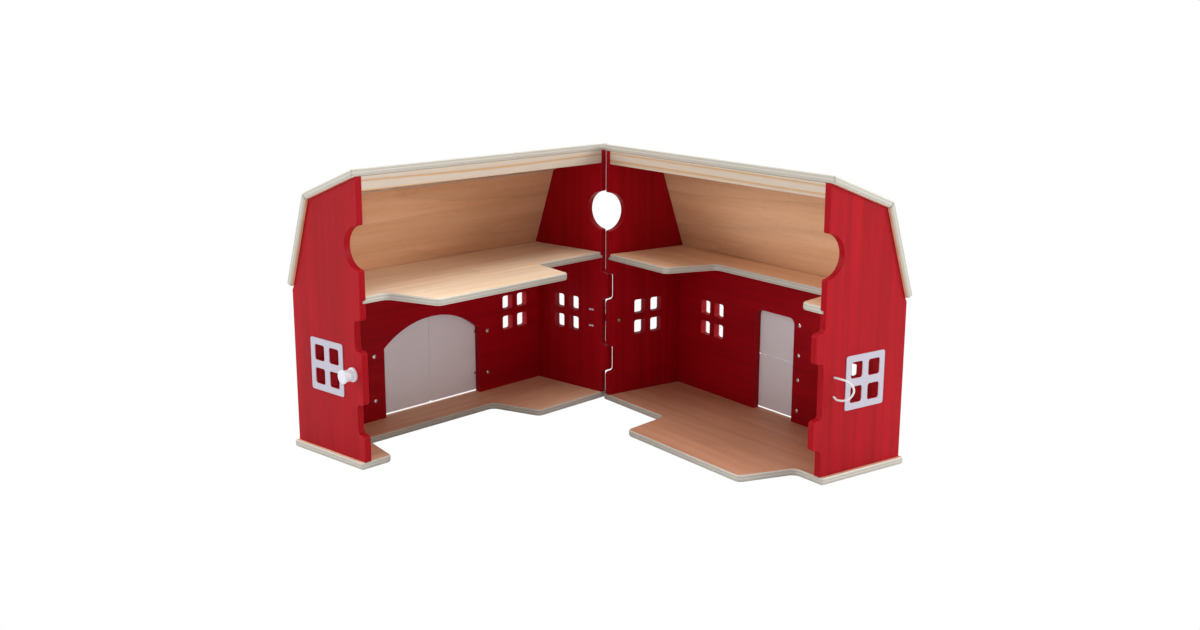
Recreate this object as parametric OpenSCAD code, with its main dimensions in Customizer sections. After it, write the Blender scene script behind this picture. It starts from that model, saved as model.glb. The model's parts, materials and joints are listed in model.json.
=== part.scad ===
// Folding wooden toy barn. Two half barns turn about an upright fold line at one gable end,
// where the tabs of one gable meet the notches of the other, held by an elastic loop on a knob.
// The frame is the right half's: the fold line is the Z axis, +Z is up from the underside of the
// base, +X points out through the right side wall, and -Y runs along the ridge to the open end.

/* [Barn] */
// Length from the outer face of one gable to the outer face of the other
barn_l = 420; // [360:1:480]
// Width of one half, from the ridge plane to the outer face of its side wall
half_w = 132; // [120:1:150]
// Thickness of the plywood
ply = 9; // [7:0.5:11]
// Height of the side wall above the floor
wall_h = 190; // [180:1:210]
// Height of the roof's underside at the ridge, above the floor
ridge_h = 338; // [325:1:360]
// Height of the roof's underside at the knee, above the floor
knee_h = 304; // [290:1:310]
// Distance of the knee from the ridge plane
knee_u = 91.5; // [85:0.5:100]
// How far the base and the roof stand out past the walls
overhang = 4.5; // [2:0.5:6]
// How far the left half is folded open at rest
open_angle = 78; // [40:1:78]
// Gap left between each half's long edge and the ridge plane
edge_gap = 0.6; // [0.6:0.1:1.5]

/* [Interlock of the halves] */
// How far the tabs reach past the ridge plane, which sets the fold line
tab_depth = 12; // [9:0.5:14]
// Height of one tab
tab_h = 35.5; // [25:0.5:40]
// Height of the lower tab's middle above the floor
tab_low = 50.5; // [45:0.5:55]
// Height of the upper tab's middle above the floor
tab_high = 152; // [148:0.5:160]
// Clearance round each tab in its notch
tab_gap = 0.5; // [0.3:0.1:1]
// Corner radius of the tabs and notches
tab_r = 5; // [1:0.5:5.5]
// Corner radius where the round window meets the ridge plane
round_corner_r = 2.5; // [1:0.5:4]
// How far the floor's and the loft's jigsaw steps reach past the ridge plane
jog_depth = 72; // [50:1:80]
// Distance of the first slanted step from the hinge end
jog_first = 130; // [120:1:140]
// Distance of the last slanted step from the hinge end
jog_last = 380; // [340:1:390]
// Length of each slanted step along the barn
jog_slant = 18; // [17:0.5:40]
// Corner radius of the steps
jog_r = 9; // [4:0.5:14]
// Corner radius of the floors
floor_r = 3; // [1:0.5:5]
// Radius of the round window that the gables share
round_r = 26; // [20:0.5:30]
// Height of the round window's middle above the floor
round_z = 256; // [245:1:265]
// Height of the ridge beam
beam_h = 17.5; // [12:0.5:24]
// Thickness of the ridge beam
beam_t = 9; // [6:0.5:14]

/* [Windows] */
// Width of one window pane
pane_w = 18.5; // [14:0.5:20]
// Height of one window pane
pane_h = 19.5; // [14:0.5:22]
// Width of the bars between the panes
bar_w = 9.5; // [6:0.5:12]
// Width of the frame's border
border_w = 8; // [5:0.5:10]
// Thickness of the window frame
frame_t = 1; // [0.6:0.1:2]
// Corner radius of the panes
pane_r = 3; // [1:0.5:4]
// Corner radius of the frame
frame_r = 3; // [1:0.5:6]
// Height of the windows' middle above the floor
window_z = 105.5; // [95:0.5:120]
// Distance of the gable windows' middle from the ridge plane
gable_window_u = 67; // [60:0.5:75]
// Distance of the left side window's middle from the hinge end
left_window_v = 56.5; // [48:0.5:60]
// Distance of the right side windows' middles from the stable door's middle
right_window_from_door = 125.5; // [115:0.5:130]

/* [Doors] */
// Thickness of a door leaf
leaf_t = 4; // [3:0.5:6]
// Gap between the wall and a closed leaf
leaf_gap = 0.4; // [0.3:0.1:1]
// Gap between the floor and the leaves
leaf_lift = 2.5; // [1:0.5:5]
// Gap between two leaves
seam_gap = 1; // [0.6:0.1:2]
// Corner radius of the leaves
leaf_r = 3; // [1:0.5:6]
// Middle of the arched doorway, from the hinge end
arch_v = 208; // [200:1:220]
// Width of the arched doorway
arch_w = 166; // [140:1:170]
// Height of the arched doorway's straight sides
arch_side_h = 93; // [85:1:110]
// Rise of the arch above its sides
arch_rise = 30; // [20:1:50]
// How far the arched leaves overlap the wall
arch_overlap = 8.5; // [5:0.5:10]
// Middle of the stable doorway, from the hinge end
stable_v = 207; // [200:1:220]
// Width of the stable doorway
stable_w = 73; // [60:1:80]
// Height of the stable doorway
stable_h = 137; // [130:1:150]
// Corner radius at the stable doorway's top
stable_r = 9; // [4:1:14]
// Height of the seam between the stable door's two leaves
stable_seam = 75; // [70:1:80]
// How far the stable leaves overlap the wall
stable_overlap = 2; // [1:0.5:4]

/* [Hinges] */
// Height of a hinge
hinge_h = 14; // [12:0.5:18]
// Width of one hinge plate
hinge_w = 15; // [14:0.5:16]
// Thickness of the hinge plates
hinge_t = 0.8; // [0.6:0.1:1.2]
// Radius of the hinge knuckle
knuckle_r = 1.6; // [1.5:0.1:2]
// Radius of the hinge pin
pin_r = 0.7; // [0.5:0.05:0.9]
// Radial clearance of the pin in the turning knuckle
pin_gap = 0.05; // [0.02:0.01:0.1]
// Distance of the wall's rivet from the pin
wall_rivet_q = 5; // [4.5:0.5:7]
// Distance of the leaf's rivet from the pin
leaf_rivet_q = 12.2; // [11:0.1:12.5]
// Radius of a rivet's shank
rivet_r = 1.2; // [0.8:0.1:1.5]
// Radius of the wall rivets' heads
wall_head_r = 2.8; // [1.8:0.1:3]
// Radius of the leaf rivets' heads
leaf_head_r = 2.1; // [1.8:0.1:2.2]
// Height of a rivet's head
rivet_head_h = 0.8; // [0.5:0.1:1.2]

/* [Knobs and elastic loops] */
// Distance of the knobs and the loops' holes from the ridge plane
knob_u = 18; // [17:0.5:20]
// Height of the knobs above the floor
knob_z = 104.5; // [98:0.5:108]
// Length of a knob
knob_l = 16.5; // [15:0.5:18]
// Radius of the knob's foot
knob_foot_r = 8.7; // [8:0.1:9]
// Radius of the knob's neck
knob_neck_r = 6.9; // [5:0.1:7]
// Radius of the knob's head
knob_head_r = 8.5; // [7:0.1:8.6]
// Radius of the knob screw's shank
screw_r = 1.75; // [1.25:0.25:2.25]
// Radius of the knob screw's head
screw_head_r = 2.8; // [2.5:0.1:4]
// Height of the knob screw's head
screw_head_h = 1.4; // [1.2:0.1:2.5]
// Depth of the knob screw's grip in the knob
screw_grip = 10; // [8:1:12]
// Diameter of the elastic cord
cord_d = 2.4; // [2:0.1:2.8]
// Distance between the two holes of a loop
hole_pitch = 23; // [20:0.5:26]
// Radius of a loop's hole
hole_r = 1.7; // [1.6:0.1:2.2]
// Length of the barb on each end of the cord
barb_l = 6.8; // [5:0.1:9]
// Radius of the barb's two ends
barb_r = 1.2; // [1:0.1:1.6]

/* [Hidden] */

$fn = 48;

red = [0.67, 0.07, 0.11];
birch = [0.87, 0.70, 0.53];
pine = [0.91, 0.76, 0.52];
paint_white = [0.93, 0.93, 0.95];
elastic_white = [0.96, 0.96, 0.95];
steel = [0.68, 0.68, 0.70];

eps = 0.01;
through = 1;
hinge_end = -overhang;
open_end = barn_l + overhang;

// Clearances of the fixed fits: tongues in grooves, and bores over their screws and rivets
tongue_fit = 0.05;
screw_fit = 0.1;
rivet_fit = 0.05;

// The gambrel line: the roof's underside from the ridge over the knee to the eave
wall_in = half_w - ply;
eave_in = 2.5;
eave_up = 4;
eave = [half_w - eave_in, wall_h + eave_up];
knee = [knee_u, knee_h];
upper_tilt = atan((ridge_h - knee_h) / knee_u);
lower_tilt = atan((knee_h - eave[1]) / (eave[0] - knee_u));
upper_normal = [sin(upper_tilt), cos(upper_tilt)];
lower_normal = [sin(lower_tilt), cos(lower_tilt)];
knee_mitre = knee + ply * (upper_normal + lower_normal) / (1 + upper_normal * lower_normal);
eave_outer = eave + ply * lower_normal;
function under_upper(u) = ridge_h - u * tan(upper_tilt);
function under_lower(z) = eave[0] - (z - eave[1]) / tan(lower_tilt);

// The loft stands on the side wall, with half-thickness tongues let into the gables
tongue = ply / 2;
loft_gap = 0.1;
loft_out = under_lower(wall_h + ply) - loft_gap;

// The arched doorway is a segment of this circle
arch_r = (arch_w * arch_w / 4 + arch_rise * arch_rise) / (2 * arch_rise);
arch_centre_z = arch_side_h + arch_rise - arch_r;

right_window_v = [stable_v - right_window_from_door, stable_v + right_window_from_door];

// Hinges: the pin stands off the wall by axis_p, and the leaf's edge off the pin by leaf_q
axis_p = leaf_gap + leaf_t + hinge_t / 2;
leaf_side_gap = 0.6;
leaf_q = knuckle_r + leaf_side_gap;
knuckle_gap = 0.25;
knuckle_l = hinge_h / 3;
pin_end = 0.3;
arch_hinge_z = [26, 85.5];
stable_upper_z = [90, 129.5];
stable_lower_z = [16.5, 57.5];
arch_front_axis = arch_v + arch_w / 2 + arch_overlap + leaf_q;
arch_rear_axis = arch_v - arch_w / 2 - arch_overlap - leaf_q;
stable_axis = stable_v + stable_w / 2 + stable_overlap + leaf_q;

// Barbs: slimmer between their two ends, with a stem that holds the cord in its hole
barb_waist_r = 0.75 * barb_r;
barb_end_l = barb_l / 4;

// Route of the front loop's upper half, from the gable's inner face: out, towards the wall and
// up, each point counted from the knob's height at the gable's outer face. The lower half sags.
front_route = [[-9, 0, 11.5], [-5, 0, 11.5], [0, 0, 11.5], [4, 0.3, 11.5], [8, 1.1, 11.3],
               [12, 2.5, 10.9], [16, 4.5, 9.8], [19.4, 6.6, 7.4], [21.6, 8.2, 3.8]];
front_tip = [22.4, 8.8, -0.6];
front_sag = 2.4;

// Route of the rear loop's upper half, in the same terms but in this file's own frame: it leaves
// the left gable, passes the head of the rear knob and lies round its neck
rear_route_in = [-9, -5, 0, 3.5];
rear_route = [[1, 28.6, 11.5], [4.5, 25.6, 11.5], [6.3, 21.6, 11.4], [6.8, 17, 11.2],
              [6.6, 12.5, 10.9], [7, 9, 9.9], [8.8, 7, 8.4], [11.8, 6.2, 6.4], [13.9, 5.8, 3.4]];
rear_tip = [14.6, 5.6, 0];

// Outline with rounded corners: each point is [x, y, radius], and a radius of 0 keeps the corner
function unit(a) = a / norm(a);
function corner_arc(a, p, b, r, steps = 6) =
    r <= 0 ? [p] :
    let (ta = unit(a - p), tb = unit(b - p),
         half = acos(max(-1, min(1, ta * tb))) / 2,
         reach = min(r / tan(half), 0.48 * norm(a - p), 0.48 * norm(b - p)),
         real_r = reach * tan(half),
         centre = p + unit(ta + tb) * real_r / sin(half),
         from = p + ta * reach - centre,
         to = p + tb * reach - centre,
         start = atan2(from[1], from[0]),
         turn0 = atan2(to[1], to[0]) - start,
         turn = turn0 > 180 ? turn0 - 360 : turn0 < -180 ? turn0 + 360 : turn0)
    [for (i = [0 : steps]) centre + real_r * [cos(start + turn * i / steps),
                                              sin(start + turn * i / steps)]];
function rounded(p) =
    [for (i = [0 : len(p) - 1])
        let (a = p[(i + len(p) - 1) % len(p)], b = p[(i + 1) % len(p)])
        each corner_arc([a[0], a[1]], [p[i][0], p[i][1]], [b[0], b[1]], p[i][2])];

// Placing: a piece is drawn in its half's own frame, X from the ridge plane to the side wall
// and -Y from the hinge end to the open end, with Z from the floor's upper face
module right_half() { translate([-tab_depth, 0, ply]) children(); }
module left_half() {
    rotate([0, 0, -open_angle]) translate([-tab_depth, 0, ply]) mirror([1, 0, 0]) children();
}

// Stands a flat outline (x outwards, y upwards) up as a board across the barn, from v on
module across(v, t) { translate([0, -v, 0]) rotate([90, 0, 0]) linear_extrude(t) children(); }

// Stands a flat outline (x along the barn, y upwards) up as a board along it, from u on
module along(u, t) {
    translate([u, 0, 0]) rotate([0, 0, -90]) rotate([90, 0, 0]) mirror([0, 0, 1])
        linear_extrude(t) children();
}

// Board with one jigsaw edge: side is 1 for a step cut out of the board and -1 for one added
module jigsaw_board(side, first, last, out, z, t, corner_r) {
    step_u = side * jog_depth + edge_gap;
    outline = rounded([[edge_gap, first, corner_r], [out, first, corner_r],
                       [out, last, corner_r], [edge_gap, last, corner_r],
                       [edge_gap, jog_last, jog_r], [step_u, jog_last - jog_slant, jog_r],
                       [step_u, jog_first + jog_slant, jog_r], [edge_gap, jog_first, jog_r]]);
    translate([0, 0, z]) linear_extrude(t) mirror([0, 1, 0]) polygon(outline);
}

module floor_board(side) {
    color(birch) jigsaw_board(side, hinge_end, open_end, half_w + overhang, -ply, ply, floor_r);
}

// The loft fits between the gables and reaches the roof, and its tongues run on into them
module loft_board(side) {
    first = ply + tongue_fit;
    last = barn_l - first;
    color(birch) {
        jigsaw_board(side, first, last, loft_out, wall_h, ply, 0);
        loft_tongue(first - tongue);
        loft_tongue(last - eps);
    }
}
module loft_tongue(v) {
    reach = tongue + eps;
    translate([edge_gap, -v - reach, wall_h])
        cube([loft_out - edge_gap, reach, tongue - tongue_fit]);
}

module window_panes() {
    for (i = [-1, 1], j = [-1, 1])
        translate([i * (pane_w + bar_w) / 2, j * (pane_h + bar_w) / 2])
            polygon(rounded([[-pane_w / 2, -pane_h / 2, pane_r], [pane_w / 2, -pane_h / 2, pane_r],
                             [pane_w / 2, pane_h / 2, pane_r], [-pane_w / 2, pane_h / 2, pane_r]]));
}

module window_frame() {
    w = pane_w + bar_w / 2 + border_w;
    h = pane_h + bar_w / 2 + border_w;
    color(paint_white) linear_extrude(frame_t) difference() {
        polygon(rounded([[-w, -h, frame_r], [w, -h, frame_r], [w, h, frame_r], [-w, h, frame_r]]));
        window_panes();
    }
}

// A gable's upright edge from the top down: tabs have a negative reach and notches a positive
// one, and a notch is as much taller as it is deeper
function tabbed_edge(reach) =
    let (half = (tab_h / 2) + max(0, reach - tab_depth))
    [for (z = [tab_high, tab_low])
        each [[edge_gap, z + half, tab_r], [reach, z + half, tab_r],
              [reach, z - half, tab_r], [edge_gap, z - half, tab_r]]];

// Half of the round window, with the corners rounded where it meets the upright edge
module round_window() {
    corner = [edge_gap + round_corner_r,
              sqrt(pow(round_r + round_corner_r, 2) - pow(edge_gap + round_corner_r, 2))];
    touch = corner * round_r / (round_r + round_corner_r);
    translate([0, round_z]) {
        circle(round_r, $fn = 72);
        for (side = [0, 1]) mirror([0, side]) difference() {
            polygon([[-eps, corner[1]], corner, touch, [-eps, touch[1]]]);
            translate(corner) circle(round_corner_r, $fn = 32);
        }
    }
}

// One gable: tabbed gables hold an elastic loop, and notched gables a knob
module gable(v, tabbed, groove_v) {
    reach = tabbed ? -tab_depth : tab_depth + tab_gap;
    color(red) difference() {
        across(v, ply) difference() {
            polygon(rounded(concat(
                [[edge_gap, 0, 0], [half_w, 0, 0], [half_w, wall_h, 0], [eave[0], eave[1], 0],
                 [knee[0], knee[1], 0], [edge_gap, under_upper(edge_gap), 0]],
                tabbed_edge(reach))));
            round_window();
            translate([gable_window_u, window_z]) window_panes();
        }
        translate([-eps, -groove_v - tongue, wall_h])
            cube([loft_out + loft_gap, tongue + eps, tongue]);
        if (tabbed)
            for (side = [-1, 1]) bore_across(v, knob_u, knob_z + side * hole_pitch / 2, hole_r);
        else bore_across(v, knob_u, knob_z, screw_r + screw_fit);
    }
}

module bore_across(v, u, z, r) {
    translate([u, through - v, z]) rotate([90, 0, 0]) cylinder(h = ply + 2 * through, r = r);
}

module back_gable(tabbed) { gable(0, tabbed, ply - tongue); }
module front_gable(tabbed) { gable(barn_l - ply, tabbed, barn_l - ply - eps); }

// Side walls stand between the gables
module side_wall() {
    color(red) along(wall_in, ply) difference() {
        translate([ply, 0]) square([barn_l - 2 * ply, wall_h]);
        children();
    }
}

// The doorways run down past the wall's lower edge
module arch_outline(grow) {
    half = arch_w / 2 + grow;
    translate([arch_v - half, -through]) square([2 * half, arch_side_h + through]);
    intersection() {
        translate([arch_v, arch_centre_z]) circle(arch_r + grow, $fn = 180);
        translate([arch_v - half, arch_side_h - eps]) square([2 * half, arch_r]);
    }
}

module stable_outline() {
    half = stable_w / 2;
    polygon(rounded([[stable_v - half, -through, 0], [stable_v + half, -through, 0],
                     [stable_v + half, stable_h, stable_r], [stable_v - half, stable_h, stable_r]]));
}

module rivet_holes(v, zs) {
    for (z = zs) translate([v, z]) circle(rivet_r + rivet_fit, $fn = 24);
}

module arched_wall() {
    side_wall() {
        arch_outline(0);
        translate([left_window_v, window_z]) window_panes();
        rivet_holes(arch_front_axis + wall_rivet_q, arch_hinge_z);
        rivet_holes(arch_rear_axis - wall_rivet_q, arch_hinge_z);
    }
}

module stable_wall() {
    side_wall() {
        stable_outline();
        for (v = right_window_v) translate([v, window_z]) window_panes();
        rivet_holes(stable_axis + wall_rivet_q, concat(stable_lower_z, stable_upper_z));
    }
}

// Roof panels run past both gables and are mitred at the knee
module roof_panel(outline) {
    color(birch) across(hinge_end, barn_l + 2 * overhang) polygon(outline);
}
module upper_roof() {
    roof_panel([[edge_gap, under_upper(edge_gap)], knee, knee_mitre,
                [edge_gap, under_upper(edge_gap) + ply / cos(upper_tilt)]]);
}
module lower_roof() { roof_panel([knee, eave, eave_outer, knee_mitre]); }
module ridge_beam() {
    out = edge_gap + beam_t;
    color(pine) across(ply, barn_l - 2 * ply)
        polygon([[edge_gap, ridge_h - beam_h], [out, ridge_h - beam_h], [out, under_upper(out)],
                 [edge_gap, under_upper(edge_gap)]]);
}

module gable_window(v) {
    translate([gable_window_u, -v, window_z]) rotate([90, 0, 0]) window_frame();
}
module back_window() { mirror([0, 1, 0]) gable_window(0); }
module front_window() { gable_window(barn_l); }
module side_window(v) {
    translate([half_w, -v, window_z]) rotate([0, 0, 90]) rotate([90, 0, 0]) window_frame();
}

// Door leaves lie on the wall's outer face
module leaf_board() { color(paint_white) along(half_w + leaf_gap, leaf_t) children(); }

// Half of the arched doorway's outline, grown by the overlap; side is 1 for the front leaf
module arch_leaf(side) {
    seam = arch_v + side * seam_gap / 2;
    edge = arch_v + side * (arch_w / 2 + arch_overlap);
    axis = side > 0 ? arch_front_axis : arch_rear_axis;
    leaf_board() difference() {
        intersection() {
            union() arch_outline(arch_overlap);
            polygon(rounded([[seam, leaf_lift, leaf_r], [edge, leaf_lift, leaf_r],
                             [edge, wall_h, 0], [seam, wall_h, 0]]));
        }
        rivet_holes(axis - side * leaf_rivet_q, arch_hinge_z);
    }
}

module stable_leaf(low, high, zs) {
    half = stable_w / 2 + stable_overlap;
    leaf_board() difference() {
        polygon(rounded([[stable_v - half, low, leaf_r], [stable_v + half, low, leaf_r],
                         [stable_v + half, high, leaf_r], [stable_v - half, high, leaf_r]]));
        rivet_holes(stable_axis - leaf_rivet_q, zs);
    }
}

// Hinge frame: the pin on the Z axis, X from the pin over the leaf and Y out from the wall
module at_hinge(v, front) {
    translate([half_w + axis_p, -v, 0])
        if (front) mirror([1, -1, 0]) children();
        else rotate([0, 0, -90]) children();
}

// The wall's half of a hinge: a plate on the wall, stepped up beside the leaf to its knuckles
module wall_hinge() {
    difference() {
        union() {
            translate([-hinge_w + knuckle_r, -axis_p, -hinge_h / 2])
                cube([hinge_w - knuckle_r, hinge_t, hinge_h]);
            translate([-knuckle_r, -axis_p, -hinge_h / 2]) cube([hinge_t, axis_p, hinge_h]);
            for (z = [-hinge_h / 2, knuckle_l / 2 + knuckle_gap])
                translate([0, 0, z]) cylinder(h = knuckle_l - knuckle_gap, r = knuckle_r, $fn = 24);
        }
        translate([0, 0, -hinge_h]) cylinder(h = 2 * hinge_h, r = pin_r, $fn = 24);
        translate([-2 * knuckle_r, -knuckle_r - knuckle_gap, -knuckle_l / 2 - knuckle_gap])
            cube([4 * knuckle_r, 4 * knuckle_r, knuckle_l + 2 * knuckle_gap]);
        plate_hole(-wall_rivet_q);
    }
}

// The leaf's half of a hinge: a plate on the leaf's face with the middle knuckle
module leaf_plate() {
    clear = knuckle_r + knuckle_gap;
    difference() {
        union() {
            translate([clear, -hinge_t / 2, -hinge_h / 2]) cube([hinge_w - clear, hinge_t, hinge_h]);
            translate([0, -hinge_t / 2, -knuckle_l / 2]) cube([clear + eps, hinge_t, knuckle_l]);
            translate([0, 0, -knuckle_l / 2]) cylinder(h = knuckle_l, r = knuckle_r, $fn = 24);
        }
        translate([0, 0, -hinge_h]) cylinder(h = 2 * hinge_h, r = pin_r + pin_gap, $fn = 24);
        plate_hole(leaf_rivet_q);
    }
}

module plate_hole(q) {
    translate([q, hinge_t, 0]) rotate([90, 0, 0])
        cylinder(h = axis_p + 2 * hinge_t, r = rivet_r + rivet_fit, $fn = 24);
}

module hinge_pin() {
    translate([0, 0, -hinge_h / 2 - pin_end])
        cylinder(h = hinge_h + 2 * pin_end, r = pin_r, $fn = 24);
}

// A low dome of radius r and height h that stands on the origin along Z
module dome(r, h) {
    ball_r = (r * r + h * h) / (2 * h);
    rotate_extrude($fn = 32) intersection() {
        translate([0, h - ball_r]) circle(ball_r, $fn = 64);
        square([r, h]);
    }
}

// A rivet along Y, with a low domed head at each end of the given span
module rivet(low, high, head_r) {
    translate([0, low, 0]) rotate([90, 0, 0]) dome(head_r, rivet_head_h);
    translate([0, high, 0]) rotate([-90, 0, 0]) dome(head_r, rivet_head_h);
    translate([0, low, 0]) rotate([-90, 0, 0]) cylinder(h = high - low, r = rivet_r, $fn = 24);
}
module wall_rivet() {
    translate([-wall_rivet_q, 0, 0]) rivet(-axis_p - ply, hinge_t - axis_p, wall_head_r);
}
module leaf_rivet() {
    translate([leaf_rivet_q, 0, 0]) rivet(leaf_gap - axis_p, hinge_t / 2, leaf_head_r);
}

module hinges_at(v, front, zs) {
    for (z = zs) translate([0, 0, z]) at_hinge(v, front) children();
}

// A turned knob along Z, with a blind hole for its screw: its profile runs up the foot, in to
// the neck, flares out to the head and closes over the rounded rim
module knob() {
    foot_h = 1.8;
    cove_r = 1.5;
    neck_top = 8;
    flare = knob_head_r - knob_neck_r;
    rim_r = 1.8;
    color(paint_white) difference() {
        rotate_extrude($fn = 64)
            polygon(concat([[0, 0], [knob_foot_r, 0], [knob_foot_r, foot_h]],
                           [for (a = [0 : 15 : 90])
                               [knob_neck_r + cove_r * (1 - sin(a)),
                                foot_h + cove_r * (1.4 - cos(a))]],
                           [for (a = [0 : 15 : 90])
                               [knob_neck_r + flare * (1 - cos(a)),
                                neck_top + (knob_l - neck_top - rim_r) * sin(a)]],
                           [for (a = [15 : 15 : 90])
                               [knob_head_r - rim_r * (1 - cos(a)), knob_l - rim_r * (1 - sin(a))]],
                           [[0, knob_l]]));
        translate([0, 0, -through])
            cylinder(h = screw_grip + 2 * through, r = screw_r, $fn = 32);
    }
}

// The knob's screw along Z: a low head behind the gable with a cross in it, and its shank
module knob_screw() {
    slot_w = 0.8;
    slot_l = 1.2 * screw_head_r;
    color(steel) difference() {
        union() {
            translate([0, 0, -ply]) rotate([180, 0, 0]) dome(screw_head_r, screw_head_h);
            translate([0, 0, -ply]) cylinder(h = ply + screw_grip, r = screw_r, $fn = 32);
        }
        for (a = [0, 90])
            translate([0, 0, -ply - screw_head_h]) rotate([0, 0, a])
                cube([slot_w, slot_l, screw_head_h], center = true);
    }
}

// Stands a piece drawn along Z on a gable's outer face, at the knob's place
module on_back(u, z) { translate([u, 0, z]) rotate([-90, 0, 0]) children(); }
module on_front(u, z) { translate([u, -barn_l, z]) rotate([90, 0, 0]) children(); }

// The barbs lie level on the gable's inner face, each across the hole of its cord
module loop_anchors() {
    for (side = [-1, 1])
        color(steel) translate([0, side * hole_pitch / 2, -ply - barb_r]) {
            translate([-barb_l / 2, 0, 0]) rotate([0, 90, 0])
                cylinder(h = barb_l, r = barb_waist_r, $fn = 24);
            for (x = [-barb_l / 2, barb_l / 2 - barb_end_l])
                translate([x, 0, 0]) rotate([0, 90, 0])
                    cylinder(h = barb_end_l, r = barb_r, $fn = 24);
            cylinder(h = barb_r, r = barb_waist_r, $fn = 24);
        }
}

// A round cord swept along its points as one closed tube
cord_sides = 8;
function cross3(a, b) = [a[1] * b[2] - a[2] * b[1], a[2] * b[0] - a[0] * b[2],
                         a[0] * b[1] - a[1] * b[0]];
function heading(p, i) = unit(p[min(i + 1, len(p) - 1)] - p[max(i - 1, 0)]);
module cord(p) {
    n = len(p);
    // The first side of every ring keeps as close as it can to this direction
    keel = [0.13, 0.27, 0.95];
    rings = [for (i = [0 : n - 1])
        let (t = heading(p, i), a = unit(cross3(t, keel)), b = cross3(t, a))
        for (k = [0 : cord_sides - 1])
            p[i] + cord_d / 2 * (cos(360 * k / cord_sides) * a + sin(360 * k / cord_sides) * b)];
    skin = [for (i = [0 : n - 2], k = [0 : cord_sides - 1])
        let (m = (k + 1) % cord_sides)
        [i * cord_sides + k, (i + 1) * cord_sides + k, (i + 1) * cord_sides + m, i * cord_sides + m]];
    first = [[for (k = [0 : cord_sides - 1]) k]];
    last = [[for (k = [cord_sides - 1 : -1 : 0]) (n - 1) * cord_sides + k]];
    color(elastic_white) polyhedron(rings, concat(skin, first, last));
}

// Both loops are drawn from one end to the other: the upper half, the tip and the same half
// again below the knob, lowered by the sag in its middle
function lower_half(p, sag) =
    [for (i = [len(p) - 1 : -1 : 0])
        [p[i][0], p[i][1], -p[i][2] - (p[i][0] > 0 ? sag * sin(180 * i / len(p)) : 0)]];
function there_and_back(p, tip, sag) = concat(p, [tip], lower_half(p, sag));
function front_points() =
    [for (q = there_and_back(front_route, front_tip, front_sag))
        [knob_u + q[1], -barn_l - q[0], knob_z + q[2]]];

// Where a point of the left gable's hinge-end face lies once the half is folded open
function left_gable_point(out, z) =
    let (x = -tab_depth - knob_u)
    [x * cos(open_angle) + out * sin(open_angle), -x * sin(open_angle) + out * cos(open_angle), z];
function rear_points() =
    [for (q = there_and_back(concat([for (out = rear_route_in)
                                        left_gable_point(out, hole_pitch / 2)], rear_route),
                             rear_tip, 0)) [q[0], q[1], ply + knob_z + q[2]]];

// Sub-parts of the right half
module right_floor() { right_half() floor_board(-1); }
module right_loft() { right_half() loft_board(1); }
module right_side_wall() { right_half() stable_wall(); }
module right_front_gable() { right_half() front_gable(true); }
module right_back_gable() { right_half() back_gable(false); }
module right_upper_roof() { right_half() upper_roof(); }
module right_lower_roof() { right_half() lower_roof(); }
module right_ridge_beam() { right_half() ridge_beam(); }
module right_front_window() { right_half() front_window(); }
module right_side_windows() { right_half() for (v = right_window_v) side_window(v); }
module right_back_window() { right_half() back_window(); }

// Sub-parts of the left half
module left_floor() { left_half() floor_board(1); }
module left_loft() { left_half() loft_board(-1); }
module left_side_wall() { left_half() arched_wall(); }
module left_front_gable() { left_half() front_gable(false); }
module left_back_gable() { left_half() back_gable(true); }
module left_upper_roof() { left_half() upper_roof(); }
module left_lower_roof() { left_half() lower_roof(); }
module left_ridge_beam() { left_half() ridge_beam(); }
module left_front_window() { left_half() front_window(); }
module left_side_window() { left_half() side_window(left_window_v); }
module left_back_window() { left_half() back_window(); }

// Doors
module arch_front_leaf() { left_half() arch_leaf(1); }
module arch_rear_leaf() { left_half() arch_leaf(-1); }
module stable_lower_leaf() {
    right_half() stable_leaf(leaf_lift, stable_seam - seam_gap / 2, stable_lower_z);
}
module stable_upper_leaf() {
    right_half() stable_leaf(stable_seam + seam_gap / 2, stable_h + stable_overlap, stable_upper_z);
}

// Hinges, in pairs on each leaf
module arch_wall_pair() {
    hinges_at(arch_front_axis, true, arch_hinge_z) children();
    hinges_at(arch_rear_axis, false, arch_hinge_z) children();
}
module arch_wall_hinges() { left_half() color(steel) arch_wall_pair() wall_hinge(); }
module arch_hinge_pins() { left_half() color(steel) arch_wall_pair() hinge_pin(); }
module arch_wall_rivets() { left_half() color(steel) arch_wall_pair() wall_rivet(); }
module stable_hinges_at(zs) { right_half() color(steel) hinges_at(stable_axis, true, zs) children(); }
module stable_wall_hinges() { stable_hinges_at(concat(stable_lower_z, stable_upper_z)) wall_hinge(); }
module stable_hinge_pins() { stable_hinges_at(concat(stable_lower_z, stable_upper_z)) hinge_pin(); }
module stable_wall_rivets() { stable_hinges_at(concat(stable_lower_z, stable_upper_z)) wall_rivet(); }
module arch_front_hinge_plates() {
    left_half() color(steel) hinges_at(arch_front_axis, true, arch_hinge_z) leaf_plate();
}
module arch_rear_hinge_plates() {
    left_half() color(steel) hinges_at(arch_rear_axis, false, arch_hinge_z) leaf_plate();
}
module stable_upper_hinge_plates() { stable_hinges_at(stable_upper_z) leaf_plate(); }
module stable_lower_hinge_plates() { stable_hinges_at(stable_lower_z) leaf_plate(); }
module arch_front_rivets() {
    left_half() color(steel) hinges_at(arch_front_axis, true, arch_hinge_z) leaf_rivet();
}
module arch_rear_rivets() {
    left_half() color(steel) hinges_at(arch_rear_axis, false, arch_hinge_z) leaf_rivet();
}
module stable_upper_rivets() { stable_hinges_at(stable_upper_z) leaf_rivet(); }
module stable_lower_rivets() { stable_hinges_at(stable_lower_z) leaf_rivet(); }

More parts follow.
